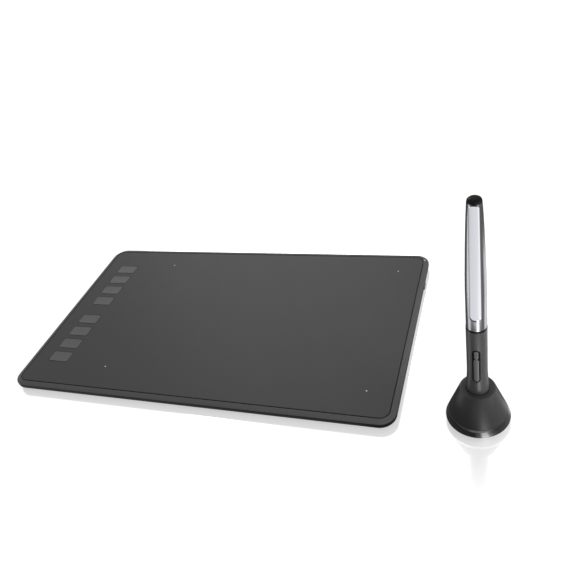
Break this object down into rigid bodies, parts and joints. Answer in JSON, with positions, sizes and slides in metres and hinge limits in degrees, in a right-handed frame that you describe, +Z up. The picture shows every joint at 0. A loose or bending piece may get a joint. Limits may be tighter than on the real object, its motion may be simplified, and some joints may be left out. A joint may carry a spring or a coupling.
{
  "type": "graphics tablet",
  "caption": "Flat drawing tablet with a column of push keys at its left end, and a battery pen with clip and side buttons standing in a tapered round pen stand.",
  "frame": {"origin": "on the table, under the middle of the whole set's footprint: tablet, pen and pen stand", "axes": "+X runs along the tablet from its keys at the left end to the pen stand at the right, +Y to the tablet's rear edge, +Z up"},
  "size_m": [0.3966, 0.1904, 0.1704],
  "materials": {
    "case_plastic": "fine matt texture",
    "face_plastic": "very fine paper-like texture",
    "key_plastic": "satin",
    "foot_rubber": "matt",
    "circuit_board": "solder mask, satin",
    "switch_plastic": "satin",
    "shield_metal": "rolled sheet",
    "ribbon_film": "polyimide film, satin",
    "usb_metal": "bright",
    "usb_plastic": "matt",
    "light_clear": "clear moulded",
    "screw_steel": "black oxide",
    "stand_plastic": "satin",
    "stand_gloss": "high gloss",
    "grip_plastic": "soft touch, matt",
    "bezel_plastic": "gloss",
    "button_plastic": "satin",
    "collar_plastic": "gloss",
    "barrel_metal": "satin bright",
    "clip_metal": "satin bright",
    "cap_plastic": "gloss",
    "nib_plastic": "satin",
    "carrier_plastic": "moulded, satin",
    "ferrite": "sintered, matt",
    "coil_copper": "enamelled wire",
    "sensor_module": "satin",
    "battery_skin": "plain printed skin, satin",
    "contact_metal": "bright"
  },
  "bodies": {
    "root": {"top_frame": "case_plastic", "face_panel": "face_plastic", "bottom_cover": "case_plastic", "key_board": "circuit_board", "key_switches": "switch_plastic", "sensor_board": "circuit_board", "shield_plate": "shield_metal", "main_board": "circuit_board", "key_ribbon": "ribbon_film", "sensor_ribbon": "ribbon_film", "usb_shell": "usb_metal", "usb_insert": "usb_plastic", "status_light": "light_clear", "cover_screws": "screw_steel", "rubber_foot_1": "foot_rubber", "rubber_foot_2": "foot_rubber", "rubber_foot_3": "foot_rubber", "rubber_foot_4": "foot_rubber", "stand_base": "stand_plastic", "stand_band": "stand_gloss", "stand_pad": "foot_rubber", "nib_tray": "carrier_plastic", "nib_puller": "screw_steel", "spare_nibs": "nib_plastic"},
    "stand_cone": {"stand_cone": "stand_plastic"},
    "pen": {"pen_nose": "grip_plastic", "pen_grip": "grip_plastic", "button_bezel": "bezel_plastic", "joint_collar": "collar_plastic", "ferrite_core": "ferrite", "antenna_coil": "coil_copper", "pressure_sensor": "sensor_module", "pen_chassis": "carrier_plastic", "pen_board": "circuit_board", "pen_switches": "switch_plastic", "battery": "battery_skin", "battery_contact_lower": "contact_metal"},
    "pen_nib": {"pen_nib": "nib_plastic"},
    "pen_button_upper": {"pen_button_upper": "button_plastic"},
    "pen_button_lower": {"pen_button_lower": "button_plastic"},
    "pen_barrel": {"upper_barrel": "barrel_metal", "end_cap": "cap_plastic", "battery_contact_upper": "contact_metal"},
    "pen_clip": {"pen_clip": "clip_metal"},
    "key_1": {"key_1": "key_plastic"},
    "key_2": {"key_2": "key_plastic"},
    "key_3": {"key_3": "key_plastic"},
    "key_4": {"key_4": "key_plastic"},
    "key_5": {"key_5": "key_plastic"},
    "key_6": {"key_6": "key_plastic"},
    "key_7": {"key_7": "key_plastic"},
    "key_8": {"key_8": "key_plastic"}
  },
  "joints": [
    {"name": "key_1_press", "type": "slide", "parent": "root", "child": "key_1", "axis": [0, 0, -1], "range_m": [0, 0.0005], "stiffness_N_per_m": 800, "springref_m": -0.0005},
    {"name": "key_2_press", "type": "slide", "parent": "root", "child": "key_2", "axis": [0, 0, -1], "range_m": [0, 0.0005], "stiffness_N_per_m": 800, "springref_m": -0.0005},
    {"name": "key_3_press", "type": "slide", "parent": "root", "child": "key_3", "axis": [0, 0, -1], "range_m": [0, 0.0005], "stiffness_N_per_m": 800, "springref_m": -0.0005},
    {"name": "key_4_press", "type": "slide", "parent": "root", "child": "key_4", "axis": [0, 0, -1], "range_m": [0, 0.0005], "stiffness_N_per_m": 800, "springref_m": -0.0005},
    {"name": "key_5_press", "type": "slide", "parent": "root", "child": "key_5", "axis": [0, 0, -1], "range_m": [0, 0.0005], "stiffness_N_per_m": 800, "springref_m": -0.0005},
    {"name": "key_6_press", "type": "slide", "parent": "root", "child": "key_6", "axis": [0, 0, -1], "range_m": [0, 0.0005], "stiffness_N_per_m": 800, "springref_m": -0.0005},
    {"name": "key_7_press", "type": "slide", "parent": "root", "child": "key_7", "axis": [0, 0, -1], "range_m": [0, 0.0005], "stiffness_N_per_m": 800, "springref_m": -0.0005},
    {"name": "key_8_press", "type": "slide", "parent": "root", "child": "key_8", "axis": [0, 0, -1], "range_m": [0, 0.0005], "stiffness_N_per_m": 800, "springref_m": -0.0005},
    {"name": "stand_twist", "type": "hinge", "parent": "root", "child": "stand_cone", "pos_m": [0.17767, -0.07455, 0.012], "axis": [0, 0, 1], "range_deg": [0, 40]},
    {"name": "pen_lift", "type": "slide", "parent": "stand_cone", "child": "pen", "axis": [0, 0, 1], "range_m": [0, 0.1]},
    {"name": "nib_press", "type": "slide", "parent": "pen", "child": "pen_nib", "axis": [0, 0, 1], "range_m": [0, 0.0004], "stiffness_N_per_m": 1000, "springref_m": -0.0004},
    {"name": "upper_button_press", "type": "slide", "parent": "pen", "child": "pen_button_upper", "axis": [0, 1, 0], "range_m": [0, 0.0003], "stiffness_N_per_m": 2000, "springref_m": -0.0003},
    {"name": "lower_button_press", "type": "slide", "parent": "pen", "child": "pen_button_lower", "axis": [0, 1, 0], "range_m": [0, 0.0003], "stiffness_N_per_m": 2000, "springref_m": -0.0003},
    {"name": "barrel_twist", "type": "hinge", "parent": "pen", "child": "pen_barrel", "pos_m": [0.17767, -0.07455, 0.09], "axis": [0, 0, 1], "range_deg": [0, 360]},
    {"name": "clip_flex", "type": "hinge", "parent": "pen_barrel", "child": "pen_clip", "pos_m": [0.17767, -0.07855, 0.1654], "axis": [-1, 0, 0], "range_deg": [0, 3], "stiffness_Nm_per_rad": 2.7, "springref_deg": -1.15}
  ]
}
